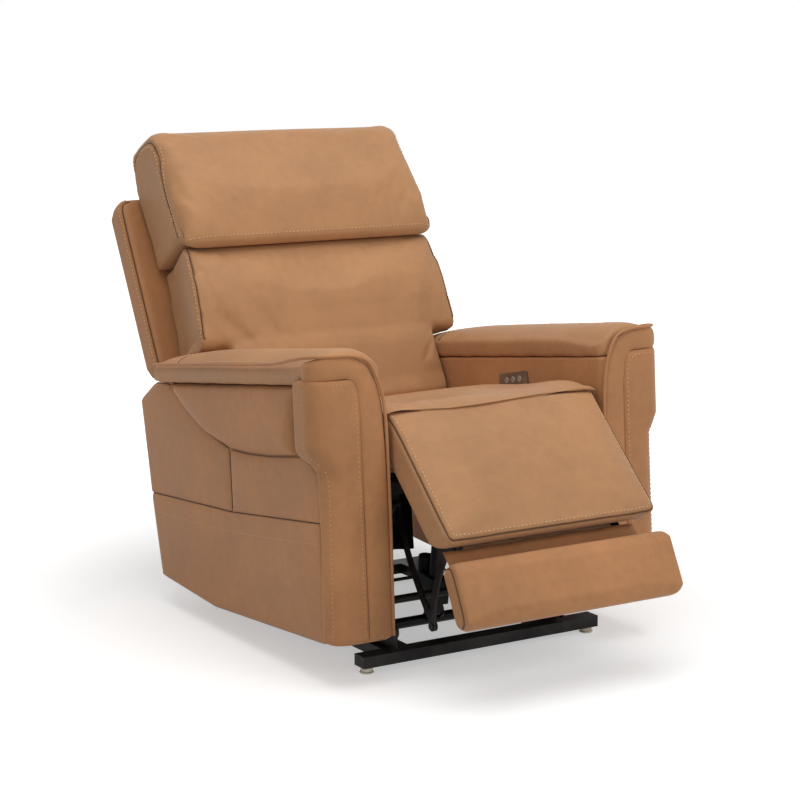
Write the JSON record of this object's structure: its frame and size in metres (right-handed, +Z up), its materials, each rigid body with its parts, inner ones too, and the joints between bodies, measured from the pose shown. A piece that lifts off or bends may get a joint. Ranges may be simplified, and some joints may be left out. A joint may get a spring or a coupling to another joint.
{
  "type": "lift recliner chair",
  "caption": "Padded power lift recliner with a pivoting headrest, reclining back, folding legrest with foot pad, and a four-bar lift base on a steel floor frame.",
  "frame": {"origin": "centre of the bounding box at floor level", "axes": "+X to the right seen from the front, +Y towards the back, +Z up; the chair faces -Y"},
  "size_m": [0.88, 1.4152, 1.0857],
  "materials": {
    "leather": "semi-matte",
    "lining": "matte",
    "steel": "satin black",
    "motor_case": "matte",
    "rod": "satin",
    "panel": "satin pewter",
    "button": "satin",
    "glide": "smooth",
    "roller": "smooth"
  },
  "bodies": {
    "base": {"front_tube": "steel", "rear_tube": "steel", "motor_tube": "steel", "rail_left": "steel", "rail_right": "steel", "glide_stems": "steel", "glide_feet": "glide"},
    "front_links": {"lift_link_front_left": "steel", "lift_link_front_right": "steel", "lift_cross_tube": "steel"},
    "rear_links": {"lift_link_rear_left": "steel", "lift_link_rear_right": "steel", "lift_tie_rod": "steel"},
    "lift_drive": {"lift_motor": "motor_case", "lift_tube": "steel"},
    "lift_ram": {"lift_rod": "rod"},
    "chair": {"side_plate_left": "steel", "side_plate_right": "steel", "seat_crossbar_front": "steel", "seat_crossbar_rear": "steel", "seat_deck": "lining", "seat_cushion": "leather", "arm_left": "leather", "arm_right": "leather", "arm_side_left": "leather", "arm_side_right": "leather", "arm_top_left": "leather", "arm_top_right": "leather", "arm_front_left": "leather", "arm_front_right": "leather", "pocket_left": "leather", "pocket_right": "leather", "seat_valances": "lining", "control_plate": "panel"},
    "recline_button": {"button_recline": "button"},
    "head_button": {"button_head": "button"},
    "lift_button": {"button_lift": "button"},
    "back": {"back_shell": "leather", "back_frame": "steel", "back_cushion": "leather"},
    "head": {"head_plate": "steel", "head_pillow": "leather"},
    "recline_drive": {"recline_motor": "motor_case", "recline_tube": "steel"},
    "recline_ram": {"recline_rod": "rod"},
    "legrest": {"legrest_pad": "leather", "legrest_board": "lining", "legrest_brackets": "steel"},
    "leg_rear_links": {"leg_link_rear_left": "steel", "leg_link_rear_right": "steel"},
    "leg_front_links": {"leg_link_front_left": "steel", "leg_link_front_right": "steel", "link_rollers": "roller"},
    "foot_control": {"foot_links": "steel"},
    "foot": {"foot_pad": "leather", "foot_board": "lining", "foot_arms": "steel"}
  },
  "joints": [
    {"name": "lift", "type": "hinge", "parent": "base", "child": "front_links", "pos_m": [0, -0.3389, 0.076], "axis": [1, 0, 0], "range_deg": [0, 50]},
    {"name": "lift_tilt", "type": "hinge", "parent": "front_links", "child": "chair", "pos_m": [0, -0.1169, 0.17], "axis": [1, 0, 0], "range_deg": [-24, 0]},
    {"name": "lift_rear", "type": "hinge", "parent": "base", "child": "rear_links", "pos_m": [0, -0.2494, 0.064], "axis": [1, 0, 0], "range_deg": [0, 48.5]},
    {"name": "lift_drive_swing", "type": "hinge", "parent": "base", "child": "lift_drive", "pos_m": [0, -0.1619, 0.05], "axis": [1, 0, 0], "range_deg": [0, 26.85]},
    {"name": "lift_ram_slide", "type": "slide", "parent": "lift_drive", "child": "lift_ram", "axis": [0, -0.1333, 0.9911], "range_m": [0, 0.1628]},
    {"name": "recline", "type": "hinge", "parent": "chair", "child": "back", "pos_m": [0, 0.28019, 0.3334], "axis": [-1, 0, 0], "range_deg": [0, 30]},
    {"name": "recline_drive_swing", "type": "hinge", "parent": "chair", "child": "recline_drive", "pos_m": [0, 0.00703, 0.30202], "axis": [-1, 0, 0], "range_deg": [0, 3.79]},
    {"name": "recline_ram_slide", "type": "slide", "parent": "recline_drive", "child": "recline_ram", "axis": [0, 0.9908, -0.1352], "range_m": [-0.0401, 0]},
    {"name": "headrest", "type": "hinge", "parent": "back", "child": "head", "pos_m": [0, 0.40464, 0.83729], "axis": [1, 0, 0], "range_deg": [0, 30]},
    {"name": "legrest", "type": "hinge", "parent": "chair", "child": "legrest", "pos_m": [0, -0.3738, 0.51653], "axis": [-1, 0, 0], "range_deg": [-38, 42]},
    {"name": "leg_rear_link", "type": "hinge", "parent": "chair", "child": "leg_rear_links", "pos_m": [0, -0.32093, 0.34851], "axis": [-1, 0, 0], "range_deg": [-38, 42]},
    {"name": "leg_front_link", "type": "hinge", "parent": "legrest", "child": "leg_front_links", "pos_m": [0, -0.52313, 0.28672], "axis": [-1, 0, 0], "range_deg": [-42, 38]},
    {"name": "footrest_fold", "type": "hinge", "parent": "legrest", "child": "foot", "pos_m": [0, -0.57166, 0.27422], "axis": [-1, 0, 0], "range_deg": [-13.8, 15.2]},
    {"name": "foot_link", "type": "hinge", "parent": "leg_front_links", "child": "foot_control", "pos_m": [0, -0.49867, 0.29232], "axis": [-1, 0, 0], "range_deg": [-13.3, 14.7]},
    {"name": "recline_press", "type": "slide", "parent": "chair", "child": "recline_button", "axis": [1, 0, 0], "range_m": [0, 0.0015], "stiffness_N_per_m": 400},
    {"name": "head_press", "type": "slide", "parent": "chair", "child": "head_button", "axis": [1, 0, 0], "range_m": [0, 0.0015], "stiffness_N_per_m": 400},
    {"name": "lift_press", "type": "slide", "parent": "chair", "child": "lift_button", "axis": [1, 0, 0], "range_m": [0, 0.0015], "stiffness_N_per_m": 400}
  ],
  "couplings": [
    {"joint": "lift_tilt", "follows": "lift", "ratio": -0.48},
    {"joint": "lift_rear", "follows": "lift", "ratio": 0.97},
    {"joint": "lift_drive_swing", "follows": "lift", "ratio": 0.537},
    {"joint": "lift_ram_slide", "follows": "lift", "m_per_rad": 0.1864},
    {"joint": "recline_drive_swing", "follows": "recline", "ratio": 0.126},
    {"joint": "recline_ram_slide", "follows": "recline", "m_per_rad": -0.0764},
    {"joint": "leg_rear_link", "follows": "legrest", "ratio": 1},
    {"joint": "leg_front_link", "follows": "legrest", "ratio": -1},
    {"joint": "footrest_fold", "follows": "legrest", "ratio": 0.361},
    {"joint": "foot_link", "follows": "legrest", "ratio": 0.348}
  ]
}
